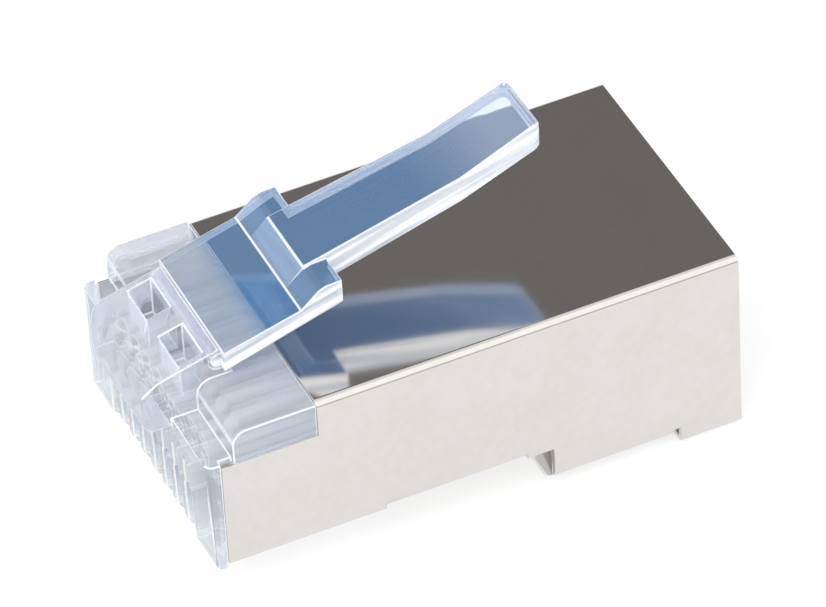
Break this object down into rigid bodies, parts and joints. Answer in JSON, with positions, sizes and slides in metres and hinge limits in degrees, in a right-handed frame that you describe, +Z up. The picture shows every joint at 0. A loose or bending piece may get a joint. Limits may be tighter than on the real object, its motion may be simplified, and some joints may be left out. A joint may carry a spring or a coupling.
{
  "type": "shielded ethernet plug",
  "caption": "Shielded modular network plug: clear housing in a folded metal shield, contact blades in open slots at the nose, a press-down latch above and an open cable end.",
  "frame": {"origin": "middle of the plug's length and width, at the height of the shield's lowest face", "axes": "+Z up to the latch side, -Y towards the nose, +Y towards the cable end, X across the plug"},
  "size_m": [0.0116, 0.0228, 0.0139],
  "materials": {
    "clear_plastic": "clear moulded polycarbonate, polished",
    "nickel_plate": "nickel-plated brass sheet, satin bright",
    "contact_metal": "nickel-plated phosphor bronze with a gold-plated contact edge"
  },
  "bodies": {
    "plug_body": {"housing": "clear_plastic", "shield": "nickel_plate", "contact_1": "contact_metal", "contact_2": "contact_metal", "contact_3": "contact_metal", "contact_4": "contact_metal", "contact_5": "contact_metal", "contact_6": "contact_metal", "contact_7": "contact_metal", "contact_8": "contact_metal"},
    "latch": {"latch_lever": "clear_plastic"}
  },
  "joints": [
    {"name": "latch_hinge", "type": "hinge", "parent": "plug_body", "child": "latch", "pos_m": [0, -0.00835, 0.00896], "axis": [-1, 0, 0], "range_deg": [0, 16], "stiffness_Nm_per_rad": 0.12}
  ]
}
